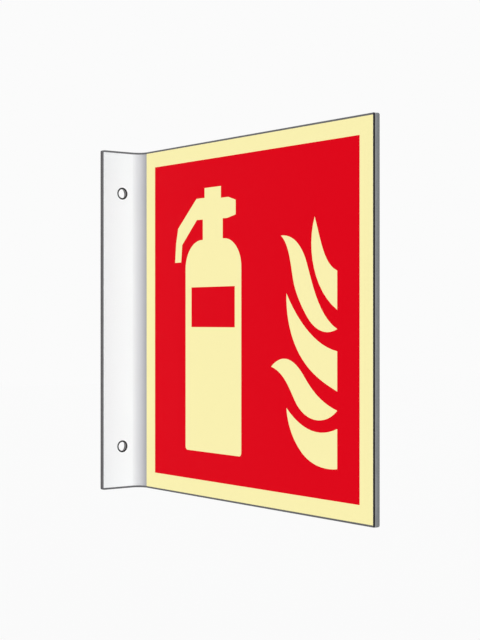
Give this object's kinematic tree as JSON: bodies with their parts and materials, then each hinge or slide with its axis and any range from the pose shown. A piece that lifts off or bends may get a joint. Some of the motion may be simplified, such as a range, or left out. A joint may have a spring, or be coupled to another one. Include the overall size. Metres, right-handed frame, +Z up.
{
  "type": "projecting fire extinguisher sign",
  "caption": "Square fire extinguisher sign on a folded sheet whose flange screws flat to a wall, so the sign stands out and reads from both sides.",
  "frame": {"origin": "on the wall plane, midway between the two screw holes of the flange", "axes": "+Y into the wall, along the screws; +Z up, from the lower screw hole to the upper one; +X from the flange's outer edge towards the sign panel's far face"},
  "size_m": [0.0304, 0.21, 0.2],
  "materials": {
    "coated_sheet": "satin",
    "afterglow_film": "satin",
    "red_ink": "satin"
  },
  "bodies": {
    "root": {"folded_plate": "coated_sheet", "front_film": "afterglow_film", "front_print": "red_ink", "back_film": "afterglow_film", "back_print": "red_ink"}
  },
  "joints": []
}
